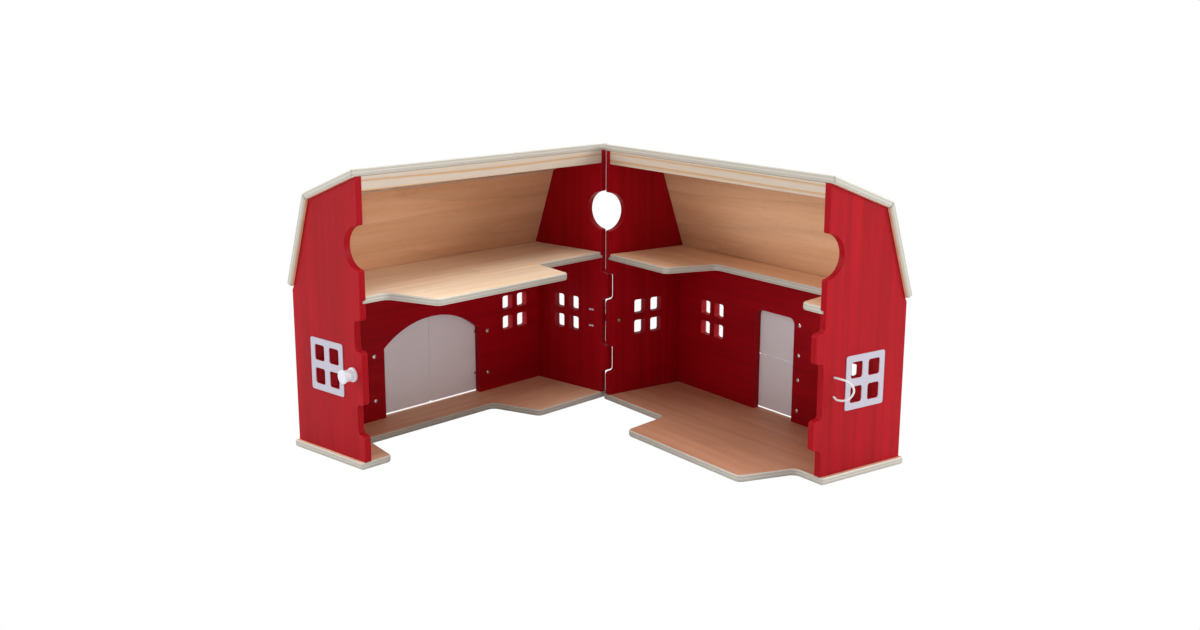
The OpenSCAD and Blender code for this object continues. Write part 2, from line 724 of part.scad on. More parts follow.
// Knobs and loops
module front_knob() { left_half() on_front(knob_u, knob_z) knob(); }
module rear_knob() { right_half() on_back(knob_u, knob_z) knob(); }
module front_knob_screw() { left_half() on_front(knob_u, knob_z) knob_screw(); }
module rear_knob_screw() { right_half() on_back(knob_u, knob_z) knob_screw(); }
module front_loop() { right_half() cord(front_points()); }
module rear_loop() { cord(rear_points()); }
module front_loop_anchors() { right_half() on_front(knob_u, knob_z) loop_anchors(); }
module rear_loop_anchors() { left_half() on_back(knob_u, knob_z) loop_anchors(); }

right_floor();
right_loft();
right_side_wall();
right_front_gable();
right_back_gable();
right_upper_roof();
right_lower_roof();
right_ridge_beam();
left_floor();
left_loft();
left_side_wall();
left_front_gable();
left_back_gable();
left_upper_roof();
left_lower_roof();
left_ridge_beam();
right_front_window();
right_side_windows();
right_back_window();
left_front_window();
left_side_window();
left_back_window();
arch_front_leaf();
arch_rear_leaf();
stable_upper_leaf();
stable_lower_leaf();
arch_wall_hinges();
stable_wall_hinges();
arch_hinge_pins();
stable_hinge_pins();
arch_front_hinge_plates();
arch_rear_hinge_plates();
stable_upper_hinge_plates();
stable_lower_hinge_plates();
arch_wall_rivets();
stable_wall_rivets();
arch_front_rivets();
arch_rear_rivets();
stable_upper_rivets();
stable_lower_rivets();
front_knob();
rear_knob();
front_knob_screw();
rear_knob_screw();
front_loop();
rear_loop();
front_loop_anchors();
rear_loop_anchors();
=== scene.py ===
"""A folding toy barn of red-stained plywood, modelled round its packed construction."""

import json
import math

import bmesh
import bpy
from mathutils import Matrix, Vector

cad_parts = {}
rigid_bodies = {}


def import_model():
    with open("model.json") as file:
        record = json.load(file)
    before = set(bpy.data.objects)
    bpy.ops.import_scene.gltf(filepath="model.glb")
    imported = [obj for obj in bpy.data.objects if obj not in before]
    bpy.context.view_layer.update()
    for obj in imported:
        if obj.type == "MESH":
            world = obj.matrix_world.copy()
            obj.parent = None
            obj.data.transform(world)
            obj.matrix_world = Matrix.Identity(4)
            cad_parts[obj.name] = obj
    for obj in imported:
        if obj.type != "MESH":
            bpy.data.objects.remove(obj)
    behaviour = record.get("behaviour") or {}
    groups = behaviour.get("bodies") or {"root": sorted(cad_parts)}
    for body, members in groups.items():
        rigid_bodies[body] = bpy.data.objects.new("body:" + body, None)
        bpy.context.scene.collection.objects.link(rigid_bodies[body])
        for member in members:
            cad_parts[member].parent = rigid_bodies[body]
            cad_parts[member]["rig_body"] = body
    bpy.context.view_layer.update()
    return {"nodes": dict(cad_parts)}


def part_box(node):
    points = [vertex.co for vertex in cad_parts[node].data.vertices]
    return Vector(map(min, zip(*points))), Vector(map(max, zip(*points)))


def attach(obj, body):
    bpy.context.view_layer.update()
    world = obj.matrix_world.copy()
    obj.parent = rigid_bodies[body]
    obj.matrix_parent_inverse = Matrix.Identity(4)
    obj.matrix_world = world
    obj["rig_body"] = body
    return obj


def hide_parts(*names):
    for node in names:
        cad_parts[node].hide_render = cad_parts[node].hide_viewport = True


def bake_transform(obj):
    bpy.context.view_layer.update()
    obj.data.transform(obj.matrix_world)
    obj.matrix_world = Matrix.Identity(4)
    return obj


bl_info = {
    "name": "Folding toy barn",
    "version": (1, 0, 0),
    "blender": (4, 5, 0),
    "location": "3D View > Sidebar > Barn",
    "description": "Finishes the boards, doors, windows and fittings of a folding toy barn",
    "category": "Add Mesh",
}

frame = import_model()
MM = 0.001

# The left half is folded open about the Z axis by this much, so its boards lie skewed in the frame
OPEN_ANGLE = math.radians(78)

# The plywood, and the least turn in degrees that counts as an edge
BOARD_THICKNESS = 9 * MM
PLIES = 5
EDGE_TURN = 40.0

# A face belongs to the board's flat sides when its normal leans less than this cosine says
FLAT_COSINE = 0.85

# How each kind of board lies in its half: the direction of its face grain and its face normal,
# with X out of the half, Y along the ridge and Z up
FLAT_BOARD = (Vector((0, 1, 0)), Vector((0, 0, 1)))
SIDE_BOARD = (Vector((0, 1, 0)), Vector((1, 0, 0)))
GABLE_BOARD = (Vector((0, 0, 1)), Vector((0, 1, 0)))


def half_turn(side):
    """The turn from a half's own directions to the frame's: the left half is mirrored and folded."""
    if side == "right":
        return Matrix.Identity(3)
    return Matrix.Rotation(-OPEN_ANGLE, 3, "Z") @ Matrix.Scale(-1, 3, Vector((1, 0, 0)))


# Materials


class Nodes:
    """Adds nodes to one material from left to right and links them by name."""

    def __init__(self, name):
        self.material = bpy.data.materials.new(name)
        self.material.use_nodes = True
        self.tree = self.material.node_tree
        self.shader = self.tree.nodes["Principled BSDF"]
        self.count = 0

    def add(self, kind, links=None, **values):
        node = self.tree.nodes.new(kind)
        self.count += 1
        node.location = (-1800 + 180 * self.count, 300 - 160 * (self.count % 4))
        for key, value in values.items():
            if hasattr(node, key):
                setattr(node, key, value)
            else:
                node.inputs[key.replace("_", " ")].default_value = value
        for key, source in (links or {}).items():
            self.link(source, node.inputs[key])
        return node

    def link(self, source, socket):
        self.tree.links.new(source, socket)

    def math(self, operation, a, b=None, clamp=False):
        node = self.add("ShaderNodeMath", operation=operation, use_clamp=clamp)
        for socket, value in ((node.inputs[0], a), (node.inputs[1], b)):
            if value is None:
                continue
            if isinstance(value, (int, float)):
                socket.default_value = value
            else:
                self.link(value, socket)
        return node.outputs[0]

    def mapped(self, vector, scale, location=(0, 0, 0)):
        node = self.add("ShaderNodeMapping", {"Vector": vector})
        node.inputs["Scale"].default_value = scale
        node.inputs["Location"].default_value = location
        return node.outputs["Vector"]

    def noise(self, vector, scale, detail=4.0, roughness=0.5, distortion=0.0):
        node = self.add("ShaderNodeTexNoise", {"Vector": vector}, Scale=scale, Detail=detail,
                        Roughness=roughness, Distortion=distortion)
        return node.outputs["Fac"]

    def ramp(self, factor, stops):
        node = self.add("ShaderNodeValToRGB", {"Fac": factor})
        elements = node.color_ramp.elements
        while len(elements) < len(stops):
            elements.new(0.5)
        for element, (position, colour) in zip(elements, stops):
            element.position = position
            element.color = (*colour, 1.0) if len(colour) == 3 else colour
        return node.outputs["Color"]

    def mix(self, factor, a, b, blend="MIX"):
        node = self.add("ShaderNodeMix", data_type="RGBA", blend_type=blend)
        for socket, value in ((node.inputs[0], factor), (node.inputs[6], a), (node.inputs[7], b)):
            if isinstance(value, (int, float)):
                socket.default_value = value
            elif isinstance(value, (tuple, list)):
                socket.default_value = (*value, 1.0)
            else:
                self.link(value, socket)
        return node.outputs[2]

    def bump(self, height, strength, distance):
        node = self.add("ShaderNodeBump", {"Height": height}, Strength=strength, Distance=distance)
        self.link(node.outputs["Normal"], self.shader.inputs["Normal"])


def grey(value):
    return (value, value, value)


def board_coordinates(nodes):
    """A board's own place: X along its grain, Y across it and Z through its plies, in metres."""
    place = nodes.add("ShaderNodeAttribute", attribute_name="board_place").outputs["Vector"]
    cut = nodes.add("ShaderNodeAttribute", attribute_name="cut_edge").outputs["Fac"]
    return place, cut


def grain_seed(number, along, across):
    """Where one board's figure starts, so that no two boards share it."""
    return (along * number, across * number, 0.0)


def grain_of(nodes, place, seed, stretch, fine):
    """Cathedral figure, its fine lines and the pores of rotary-cut veneer, each from 0 to 1."""
    moved = nodes.mapped(place, (1, 1, 1), seed)
    wide = nodes.mapped(moved, (stretch, 1.0, 0.3))
    figure = nodes.noise(wide, 8.5, 2.0, 0.45, 0.5)
    rings = nodes.math("FRACT", nodes.math("MULTIPLY", figure, 9.0))
    streak = nodes.noise(nodes.mapped(moved, (stretch * 0.35, 1.0, 0.3)), fine, 5.0, 0.6)
    pores = nodes.noise(nodes.mapped(moved, (0.07, 1.0, 1.0)), 900.0, 2.0, 0.55)
    return figure, rings, streak, pores


def ply_lines(nodes, place):
    """Bands of a board's cut edge: each ply a little lighter or darker, with a thin glue line."""
    depth = nodes.add("ShaderNodeSeparateXYZ", {"Vector": place}).outputs["Z"]
    wobble = nodes.noise(nodes.mapped(place, (0.2, 0.2, 1)), 60.0, 2.0)
    depth = nodes.math("ADD", depth, nodes.math("MULTIPLY", wobble, 0.0002))
    layer = nodes.math("MULTIPLY", depth, PLIES / BOARD_THICKNESS)
    part = nodes.math("FRACT", layer)
    line = nodes.math("ABSOLUTE", nodes.math("SUBTRACT", part, 0.5))
    glue = nodes.math("GREATER_THAN", line, 0.42)
    odd = nodes.math("GREATER_THAN", nodes.math("FRACT", nodes.math("MULTIPLY", layer, 0.5)), 0.5)
    return glue, odd


def veneer(name, seed, colours, shade, stretch=0.13):
    """Clear-lacquered birch plywood: warm rotary veneer with pale layered edges."""
    nodes = Nodes(name)
    # The board's tint scales the three veneer tones; it holds painted light and shade as well as the
    # board's own tone
    light, middle, dark = (tuple(c * t for c, t in zip(one, shade)) for one in colours[:3])
    edge, edge_dark = colours[3:]
    place, cut = board_coordinates(nodes)
    figure, rings, streak, pores = grain_of(nodes, place, seed, stretch, 70.0)
    base = nodes.ramp(streak, [(0.30, dark), (0.50, middle), (0.72, light)])
    tone = nodes.ramp(figure, [(0.30, grey(0.84)), (0.70, grey(1.06))])
    base = nodes.mix(1.0, base, tone, "MULTIPLY")
    lines = nodes.ramp(rings, [(0.0, grey(0.86)), (0.12, grey(0.94)), (0.5, grey(1.0)),
                               (0.97, grey(1.02)), (1.0, grey(0.88))])
    base = nodes.mix(0.65, base, lines, "MULTIPLY")
    pore = nodes.ramp(pores, [(0.34, grey(0.86)), (0.46, grey(1.0))])
    base = nodes.mix(0.6, base, pore, "MULTIPLY")
    glue, odd = ply_lines(nodes, place)
    fleck = nodes.noise(nodes.mapped(place, (1, 1, 4)), 420.0, 3.0)
    end = nodes.mix(nodes.math("MULTIPLY", odd, 0.55), edge, edge_dark)
    end = nodes.mix(nodes.math("MULTIPLY", glue, 0.4), end, tuple(0.55 * c for c in edge_dark))
    end = nodes.mix(0.5, end, nodes.ramp(fleck, [(0.3, grey(0.86)), (0.6, grey(1.03))]), "MULTIPLY")
    colour = nodes.mix(cut, base, end)
    nodes.link(colour, nodes.shader.inputs["Base Color"])
    nodes.shader.inputs["Roughness"].default_value = 0.5
    nodes.shader.inputs["Specular IOR Level"].default_value = 0.3
    height = nodes.math("ADD", nodes.math("MULTIPLY", streak, 0.6), nodes.math("MULTIPLY", pores, 0.5))
    nodes.bump(height, 0.16, 0.0004)
    return nodes.material


def red_stain(name, seed, colours, stretch=0.07):
    """Red stain on plywood: the grain shows through and the cut edges drink more of it."""
    nodes = Nodes(name)
    light, middle, dark, edge = colours
    place, cut = board_coordinates(nodes)
    figure, rings, streak, pores = grain_of(nodes, place, seed, stretch, 95.0)
    base = nodes.ramp(streak, [(0.30, dark), (0.50, middle), (0.74, light)])
    tone = nodes.ramp(figure, [(0.30, grey(0.92)), (0.70, grey(1.05))])
    base = nodes.mix(1.0, base, tone, "MULTIPLY")
    lines = nodes.ramp(rings, [(0.0, grey(0.86)), (0.15, grey(0.96)), (0.5, grey(1.0)),
                               (0.97, grey(1.03)), (1.0, grey(0.9))])
    base = nodes.mix(0.35, base, lines, "MULTIPLY")
    pore = nodes.ramp(pores, [(0.36, grey(0.80)), (0.47, grey(1.0))])
    base = nodes.mix(0.55, base, pore, "MULTIPLY")
    blotch = nodes.noise(place, 9.0, 3.0, 0.5)
    base = nodes.mix(0.55, base, nodes.ramp(blotch, [(0.35, grey(0.9)), (0.65, grey(1.08))]), "MULTIPLY")
    glue, odd = ply_lines(nodes, place)
    end = nodes.mix(nodes.math("MULTIPLY", odd, 0.45), edge, tuple(0.72 * c for c in edge))
    end = nodes.mix(nodes.math("MULTIPLY", glue, 0.6), end, tuple(0.35 * c for c in edge))
    colour = nodes.mix(cut, base, end)
    nodes.link(colour, nodes.shader.inputs["Base Color"])
    nodes.shader.inputs["Roughness"].default_value = 0.5
    nodes.shader.inputs["Specular IOR Level"].default_value = 0.12
    height = nodes.math("ADD", nodes.math("MULTIPLY", streak, 0.6), nodes.math("MULTIPLY", pores, 0.6))
    nodes.bump(height, 0.2, 0.0004)
    return nodes.material


def pine_strip(name, seed, colours):
    """Clear pine: pale early wood with strong orange late-wood lines along it."""
    nodes = Nodes(name)
    pale, orange, edge = colours
    place, cut = board_coordinates(nodes)
    moved = nodes.mapped(place, (0.035, 1.0, 1.0), seed)
    drift = nodes.noise(moved, 26.0, 2.0, 0.5)
    across = nodes.add("ShaderNodeSeparateXYZ", {"Vector": moved})
    deep = nodes.math("ADD", across.outputs["Y"], nodes.math("MULTIPLY", across.outputs["Z"], 0.4))
    rings = nodes.math("ADD", nodes.math("MULTIPLY", deep, 95.0), nodes.math("MULTIPLY", drift, 2.6))
    ring = nodes.math("FRACT", rings)
    late = nodes.ramp(ring, [(0.0, pale), (0.62, pale), (0.84, orange), (0.9, orange), (1.0, pale)])
    fibre = nodes.noise(nodes.mapped(place, (0.05, 1, 1)), 700.0, 3.0)
    late = nodes.mix(0.6, late, nodes.ramp(fibre, [(0.35, grey(0.9)), (0.6, grey(1.03))]), "MULTIPLY")
    colour = nodes.mix(nodes.math("MULTIPLY", cut, 0.35), late, edge)
    nodes.link(colour, nodes.shader.inputs["Base Color"])
    nodes.shader.inputs["Roughness"].default_value = 0.5
    nodes.bump(fibre, 0.15, 0.0003)
    return nodes.material


def satin_paint(name, colour, roughness, speckle):
    """Sprayed satin paint, very slightly uneven."""
    nodes = Nodes(name)
    place = nodes.add("ShaderNodeTexCoord").outputs["Object"]
    peel = nodes.noise(place, 900.0, 3.0)
    cloud = nodes.noise(place, 14.0, 2.0)
    shade = nodes.ramp(cloud, [(0.3, tuple(c * 0.975 for c in colour)), (0.7, colour)])
    shade = nodes.mix(speckle, shade, nodes.ramp(peel, [(0.4, grey(0.94)), (0.6, grey(1.0))]), "MULTIPLY")
    nodes.link(shade, nodes.shader.inputs["Base Color"])
    nodes.shader.inputs["Roughness"].default_value = roughness
    nodes.bump(peel, 0.08, 0.0002)
    return nodes.material


def brushed_metal(name, colour, roughness):
    """Nickel-plated steel with faint scratches."""
    nodes = Nodes(name)
    place = nodes.add("ShaderNodeTexCoord").outputs["Object"]
    scratch = nodes.noise(nodes.mapped(place, (0.2, 0.2, 1.0)), 2600.0, 3.0)
    wear = nodes.noise(place, 180.0, 3.0)
    tint = nodes.ramp(wear, [(0.3, tuple(c * 0.86 for c in colour)), (0.7, colour)])
    nodes.link(tint, nodes.shader.inputs["Base Color"])
    nodes.shader.inputs["Metallic"].default_value = 1.0
    rough = nodes.ramp(scratch, [(0.3, grey(roughness - 0.08)), (0.7, grey(roughness + 0.1))])
    nodes.link(rough, nodes.shader.inputs["Roughness"])
    nodes.bump(scratch, 0.1, 0.0001)
    return nodes.material


def braided_elastic(name, colour):
    """Round braided cord: two sets of threads cross each other round it."""
    nodes = Nodes(name)
    uv = nodes.add("ShaderNodeUVMap", uv_map="cord_uv").outputs["UV"]
    parts = nodes.add("ShaderNodeSeparateXYZ", {"Vector": uv})
    round_it, along = parts.outputs["X"], parts.outputs["Y"]
    turns = nodes.math("MULTIPLY", round_it, 8.0)
    climb = nodes.math("MULTIPLY", along, 900.0)
    left = nodes.math("SINE", nodes.math("MULTIPLY", nodes.math("ADD", turns, climb), 2 * math.pi))
    right = nodes.math("SINE", nodes.math("MULTIPLY", nodes.math("SUBTRACT", turns, climb), 2 * math.pi))
    weave = nodes.math("MAXIMUM", left, right)
    # The low parts of the weave, between the threads, are darkened as painted shade in the grooves
    shade = nodes.ramp(weave, [(0.0, tuple(c * 0.72 for c in colour)), (0.6, colour)])
    nodes.link(shade, nodes.shader.inputs["Base Color"])
    nodes.shader.inputs["Roughness"].default_value = 0.75
    nodes.shader.inputs["Sheen Weight"].default_value = 0.3
    nodes.bump(weave, 0.5, 0.0002)
    return nodes.material


# Shapes


def store_board_place(bm, grain, normal, origin):
    """Gives a board its own coordinates, and marks its cut edges, for the wood to follow."""
    across = normal.cross(grain)
    place = bm.verts.layers.float_vector.new("board_place")
    for vert in bm.verts:
        offset = vert.co - origin
        vert[place] = (offset.dot(grain), offset.dot(across), offset.dot(normal))
    cut = bm.loops.layers.float.new("cut_edge")
    for face in bm.faces:
        share = 1.0 if abs(face.normal.dot(normal)) < FLAT_COSINE else 0.0
        for loop in face.loops:
            loop[cut] = share


def solid_copy(node, angle=1.0):
    """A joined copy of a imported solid, with the flat faces whole again."""
    bm = bmesh.new()
    bm.from_mesh(frame["nodes"][node].data)
    bmesh.ops.remove_doubles(bm, verts=bm.verts, dist=0.00001)
    bmesh.ops.dissolve_limit(bm, angle_limit=math.radians(angle), verts=bm.verts, edges=bm.edges)
    bm.normal_update()
    return bm


def soften(bm, width, segments):
    """Rounds every edge that turns by more than EDGE_TURN."""
    turn = math.radians(EDGE_TURN)
    edges = [e for e in bm.edges if e.is_manifold and e.calc_face_angle(0) > turn]
    bmesh.ops.bevel(bm, geom=edges, offset=width, offset_type="OFFSET", affect="EDGES",
                    segments=segments, profile=0.5, material=-1, clamp_overlap=True)
    bm.normal_update()


def weigh_normals(mesh):
    """Shades the flat faces flat and the narrow strips between them round."""
    polygons = mesh.polygons
    around = [[] for _ in mesh.vertices]
    for polygon in polygons:
        for vertex in polygon.vertices:
            around[vertex].append(polygon.index)
    least = math.cos(math.radians(EDGE_TURN))
    normals = []
    for polygon in polygons:
        own = polygon.normal.copy()
        for vertex in polygon.vertices:
            total = Vector((0, 0, 0))
            for index in around[vertex]:
                other = polygons[index]
                if other.normal.dot(own) > least:
                    total += other.normal * other.area
            normals.append(tuple(total.normalized() if total.length > 0 else own))
    mesh.normals_split_custom_set(normals)


def new_piece(bm, name, material):
    """An object in the scene from a bmesh, which it frees, with one material and round shading."""
    mesh = bpy.data.meshes.new(name)
    bm.to_mesh(mesh)
    bm.free()
    piece = bpy.data.objects.new(name, mesh)
    bpy.context.scene.collection.objects.link(piece)
    mesh.materials.append(material)
    for polygon in mesh.polygons:
        polygon.use_smooth = True
    return piece


def finish_piece(bm, name, node, material):
    """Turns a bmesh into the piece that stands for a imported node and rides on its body."""
    piece = new_piece(bm, name, material)
    weigh_normals(piece.data)
    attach(piece, frame["nodes"][node]["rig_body"])
    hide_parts(node)
    return piece


def board(node, kind, material, side, width):
    """A plywood board with its edges sanded round."""
    turn = half_turn(side)
    grain = (turn @ kind[0]).normalized()
    normal = (turn @ kind[1]).normalized()
    bm = solid_copy(node)
    soften(bm, width, 3)
    low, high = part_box(node)
    middle = (low + high) / 2
    depth = [v.co.dot(normal) for v in bm.verts]
    origin = middle + normal * (min(depth) - middle.dot(normal))
    store_board_place(bm, grain, normal, origin)
    return finish_piece(bm, node + "_board", node, material)


# Properties


class BarnSettings(bpy.types.PropertyGroup):
    """Sizes and colours of the finish."""

    edge_round: bpy.props.FloatProperty(
        name="Edge rounding", description="Radius sanded on the boards' edges",
        default=2.6 * MM, min=0.0, max=3 * MM, subtype="DISTANCE", unit="LENGTH")
    red_round: bpy.props.FloatProperty(
        name="Wall edge rounding", description="Radius sanded on the stained boards' edges",
        default=1.3 * MM, min=0.0, max=3 * MM, subtype="DISTANCE", unit="LENGTH")
    red_light: bpy.props.FloatVectorProperty(
        name="Light red", description="Stain on the pale grain", subtype="COLOR", size=3,
        default=(0.44, 0.001, 0.010), min=0.0, max=1.0)
    red_middle: bpy.props.FloatVectorProperty(
        name="Red", description="Stain on the even grain", subtype="COLOR", size=3,
        default=(0.36, 0.0006, 0.007), min=0.0, max=1.0)
    red_dark: bpy.props.FloatVectorProperty(
        name="Dark red", description="Stain on the dark grain", subtype="COLOR", size=3,
        default=(0.29, 0.0004, 0.005), min=0.0, max=1.0)
    birch_light: bpy.props.FloatVectorProperty(
        name="Light birch", description="Pale veneer grain", subtype="COLOR", size=3,
        default=(0.84, 0.60, 0.41), min=0.0, max=1.0)
    birch_middle: bpy.props.FloatVectorProperty(
        name="Birch", description="Even veneer grain", subtype="COLOR", size=3,
        default=(0.79, 0.53, 0.34), min=0.0, max=1.0)
    birch_dark: bpy.props.FloatVectorProperty(
        name="Dark birch", description="Dark veneer grain", subtype="COLOR", size=3,
        default=(0.72, 0.45, 0.27), min=0.0, max=1.0)
    edge_light: bpy.props.FloatVectorProperty(
        name="Board edge", description="Pale ply in a cut edge", subtype="COLOR", size=3,
        default=(0.58, 0.56, 0.50), min=0.0, max=1.0)
    edge_dark: bpy.props.FloatVectorProperty(
        name="Dark board edge", description="Dark ply in a cut edge", subtype="COLOR", size=3,
        default=(0.42, 0.38, 0.32), min=0.0, max=1.0)
    paint: bpy.props.FloatVectorProperty(
        name="White paint", description="Paint of the doors", subtype="COLOR", size=3,
        default=(0.91, 0.92, 0.98), min=0.0, max=1.0)
    frames: bpy.props.FloatVectorProperty(
        name="Window frames", description="Colour of the window frames", subtype="COLOR", size=3,
        default=(0.47, 0.45, 0.53), min=0.0, max=1.0)
    lens: bpy.props.FloatProperty(
        name="Lens", description="Focal length of the camera", default=39.97, min=20, max=120,
        unit="CAMERA")


# Operators


def birch_colours(settings):
    """The three tones of the birch veneer and the two of its cut edge."""
    return [tuple(tone) for tone in (settings.birch_light, settings.birch_middle,
                                     settings.birch_dark, settings.edge_light, settings.edge_dark)]


# How each flat board's veneer differs from the even birch, and the two sides' roof panels:
# partly the boards' own tone and partly painted light and shade, fitted so that the colours
# match under this studio light. The right floor is darkened and reddened as painted shade, and
# the lofts are lightened, the left one also paled, as painted light and sheen on their tops.
BOARD_TINTS_AND_PAINTED_SHADE = {"right_floor": (0.76, 0.55, 0.51), "right_loft": (1.15, 1.10, 1.08),
          "left_floor": (1.08, 0.97, 0.97), "left_loft": (1.12, 1.28, 1.40)}
ROOF_TINTS_AND_PAINTED_SHADE = {"right": (1.02, 0.92, 0.85), "left": (1.02, 0.88, 0.79)}


class BARN_OT_floors_and_lofts(bpy.types.Operator):
    """Veneered floor and loft boards with jigsaw edges"""

    bl_idname = "barn.floors_and_lofts"
    bl_label = "Floors and Lofts"

    def execute(self, context):
        s = context.scene.barn
        # Each board's tint holds painted light and shade as well as its own tone
        for number, (node, shade) in enumerate(BOARD_TINTS_AND_PAINTED_SHADE.items()):
            seed = grain_seed(number, 0.31, 0.17)
            material = veneer("birch_" + node, seed, birch_colours(s), shade)
            board(node, FLAT_BOARD, material, node.split("_")[0], s.edge_round)
        return {"FINISHED"}


class BARN_OT_walls(bpy.types.Operator):
    """Red-stained side walls and gables"""

    bl_idname = "barn.walls"
    bl_label = "Walls"

    def execute(self, context):
        s = context.scene.barn
        edge = tuple(1.05 * c for c in s.red_middle)
        colours = [tuple(s.red_light), tuple(s.red_middle), tuple(s.red_dark), edge]
        number = 0
        for side in ("right", "left"):
            for part, kind in (("side_wall", SIDE_BOARD), ("front_gable", GABLE_BOARD),
                               ("back_gable", GABLE_BOARD)):
                number += 1
                node = side + "_" + part
                material = red_stain("red_" + node, grain_seed(number, 0.23, 0.41), colours)
                board(node, kind, material, side, s.red_round)
        return {"FINISHED"}


class BARN_OT_roof(bpy.types.Operator):
    """Veneered roof panels and pine ridge beams"""

    bl_idname = "barn.roof"
    bl_label = "Roof"

    def execute(self, context):
        s = context.scene.barn
        number = len(BOARD_TINTS_AND_PAINTED_SHADE)
        for side in ("right", "left"):
            for part in ("upper_roof", "lower_roof"):
                number += 1
                node = side + "_" + part
                seed = grain_seed(number, 0.31, 0.17)
                # Each side's roof tint holds painted light and shade as well as the panels' own tone
                material = veneer("birch_" + node, seed, birch_colours(s), ROOF_TINTS_AND_PAINTED_SHADE[side])
                kind = (Vector((0, 1, 0)), self.panel_normal(node, side))
                board(node, kind, material, side, s.edge_round)
            node = side + "_ridge_beam"
            material = pine_strip("pine_" + side, (0.11 * number, 0.013 * number, 0.02),
                                  [(0.56, 0.47, 0.38), (0.52, 0.31, 0.15), (0.52, 0.44, 0.34)])
            board(node, SIDE_BOARD, material, side, 0.6 * MM)
        return {"FINISHED"}

    @staticmethod
    def panel_normal(node, side):
        """The normal of a roof panel's largest upward face, in its half's own directions."""
        largest = max((p for p in frame["nodes"][node].data.polygons if p.normal.z > 0.1),
                      key=lambda p: p.area)
        return half_turn(side).inverted() @ largest.normal


class BARN_OT_windows(bpy.types.Operator):
    """Thin white window frames"""

    bl_idname = "barn.windows"
    bl_label = "Windows"

    def execute(self, context):
        s = context.scene.barn
        material = satin_paint("frame_white", tuple(s.frames), 0.42, 0.3)
        for side in ("right", "left"):
            for part in ("front_window", "side_window", "back_window"):
                node = side + "_" + part
                node = node + "s" if node not in frame["nodes"] else node
                bm = solid_copy(node)
                soften(bm, 0.25 * MM, 2)
                finish_piece(bm, node + "_frame", node, material)
        return {"FINISHED"}


class BARN_OT_doors(bpy.types.Operator):
    """White door leaves"""

    bl_idname = "barn.doors"
    bl_label = "Doors"

    def execute(self, context):
        s = context.scene.barn
        material = satin_paint("door_white", tuple(s.paint), 0.5, 0.4)
        for node in ("arch_front_leaf", "arch_rear_leaf", "stable_upper_leaf", "stable_lower_leaf"):
            bm = solid_copy(node)
            soften(bm, 1.0 * MM, 3)
            finish_piece(bm, node + "_panel", node, material)
        return {"FINISHED"}


class BARN_OT_fittings(bpy.types.Operator):
    """Hinges, rivets, screws and the loops' anchors"""

    bl_idname = "barn.fittings"
    bl_label = "Fittings"

    def execute(self, context):
        plated = brushed_metal("plated_steel", (0.80, 0.80, 0.82), 0.24)
        bronzed = brushed_metal("bronzed_steel", (0.34, 0.29, 0.25), 0.34)
        nylon = satin_paint("anchor_nylon", (0.86, 0.86, 0.92), 0.3, 0.2)
        for node in frame["nodes"]:
            if node.endswith(("hinges", "plates", "pins", "rivets", "screw", "anchors")):
                bm = solid_copy(node, 0.2)
                if node.endswith(("hinges", "plates")):
                    soften(bm, 0.12 * MM, 2)
                material = (bronzed if node.endswith("screw") else
                            nylon if node.endswith("anchors") else plated)
                finish_piece(bm, node + "_metal", node, material)
        return {"FINISHED"}


class BARN_OT_knobs(bpy.types.Operator):
    """Turned white knobs that the loops hook over"""

    bl_idname = "barn.knobs"
    bl_label = "Knobs"

    def execute(self, context):
        material = satin_paint("knob_white", (0.70, 0.71, 0.77), 0.35, 0.3)
        for node in ("front_knob", "rear_knob"):
            bm = solid_copy(node, 0.2)
            finish_piece(bm, node + "_turned", node, material)
        return {"FINISHED"}


# The loops' routes, in metres, as the construction has them: from an anchor out of the gable,
# round the tip and back to the other anchor, mirrored about the knobs' height
TAB_DEPTH = 12 * MM
KNOB_PLACE = 18 * MM
KNOB_HEIGHT = 113.5 * MM
BARN_LENGTH = 420 * MM
CORD_DIAMETER = 2.4 * MM
FRONT_ROUTE = [(-9, 0, 11.5), (-5, 0, 11.5), (0, 0, 11.5), (4, 0.3, 11.5), (8, 1.1, 11.3),
               (12, 2.5, 10.9), (16, 4.5, 9.8), (19.4, 6.6, 7.4), (21.6, 8.2, 3.8)]
FRONT_TIP = (22.4, 8.8, -0.6)
FRONT_SAG = 2.4
REAR_ROUTE_IN = (-9, -5, 0, 3.5)
REAR_ROUTE = [(1, 28.6, 11.5), (4.5, 25.6, 11.5), (6.3, 21.6, 11.4), (6.8, 17, 11.2),
              (6.6, 12.5, 10.9), (7, 9, 9.9), (8.8, 7, 8.4), (11.8, 6.2, 6.4), (13.9, 5.8, 3.4)]
REAR_TIP = (14.6, 5.6, 0)


def there_and_back(points, tip, sag):
    """A loop's points: out along the route, over its tip, and back below it with some sag."""
    count = len(points)
    low = [(x, y, -z - (sag * math.sin(math.pi * i / count) if x > 0 else 0))
           for i, (x, y, z) in enumerate(points)]
    return points + [tip] + low[::-1]


def front_loop_points():
    return [Vector((KNOB_PLACE - TAB_DEPTH + aside * MM, -BARN_LENGTH - out * MM,
                    KNOB_HEIGHT + up * MM))
            for out, aside, up in there_and_back(FRONT_ROUTE, FRONT_TIP, FRONT_SAG)]


def rear_loop_points():
    turn = Matrix.Rotation(-OPEN_ANGLE, 3, "Z")
    inside = []
    for out in REAR_ROUTE_IN:
        at = turn @ Vector((-TAB_DEPTH - KNOB_PLACE, out * MM, 0)) / MM
        inside.append((at.x, at.y, 11.5))
    return [Vector((x * MM, y * MM, KNOB_HEIGHT + z * MM))
            for x, y, z in there_and_back(inside + REAR_ROUTE, REAR_TIP, 0)]


def smooth_path(points, steps=4):
    """A finer path through the same points."""
    last = len(points) - 1
    path = []
    for i in range(last):
        p0, p1, p2, p3 = (points[max(i - 1, 0)], points[i], points[i + 1], points[min(i + 2, last)])
        for k in range(steps):
            t = k / steps
            path.append(0.5 * (2 * p1 + (p2 - p0) * t + (2 * p0 - 5 * p1 + 4 * p2 - p3) * t ** 2
                               + (3 * p1 - p0 - 3 * p2 + p3) * t ** 3))
    path.append(points[last])
    return path


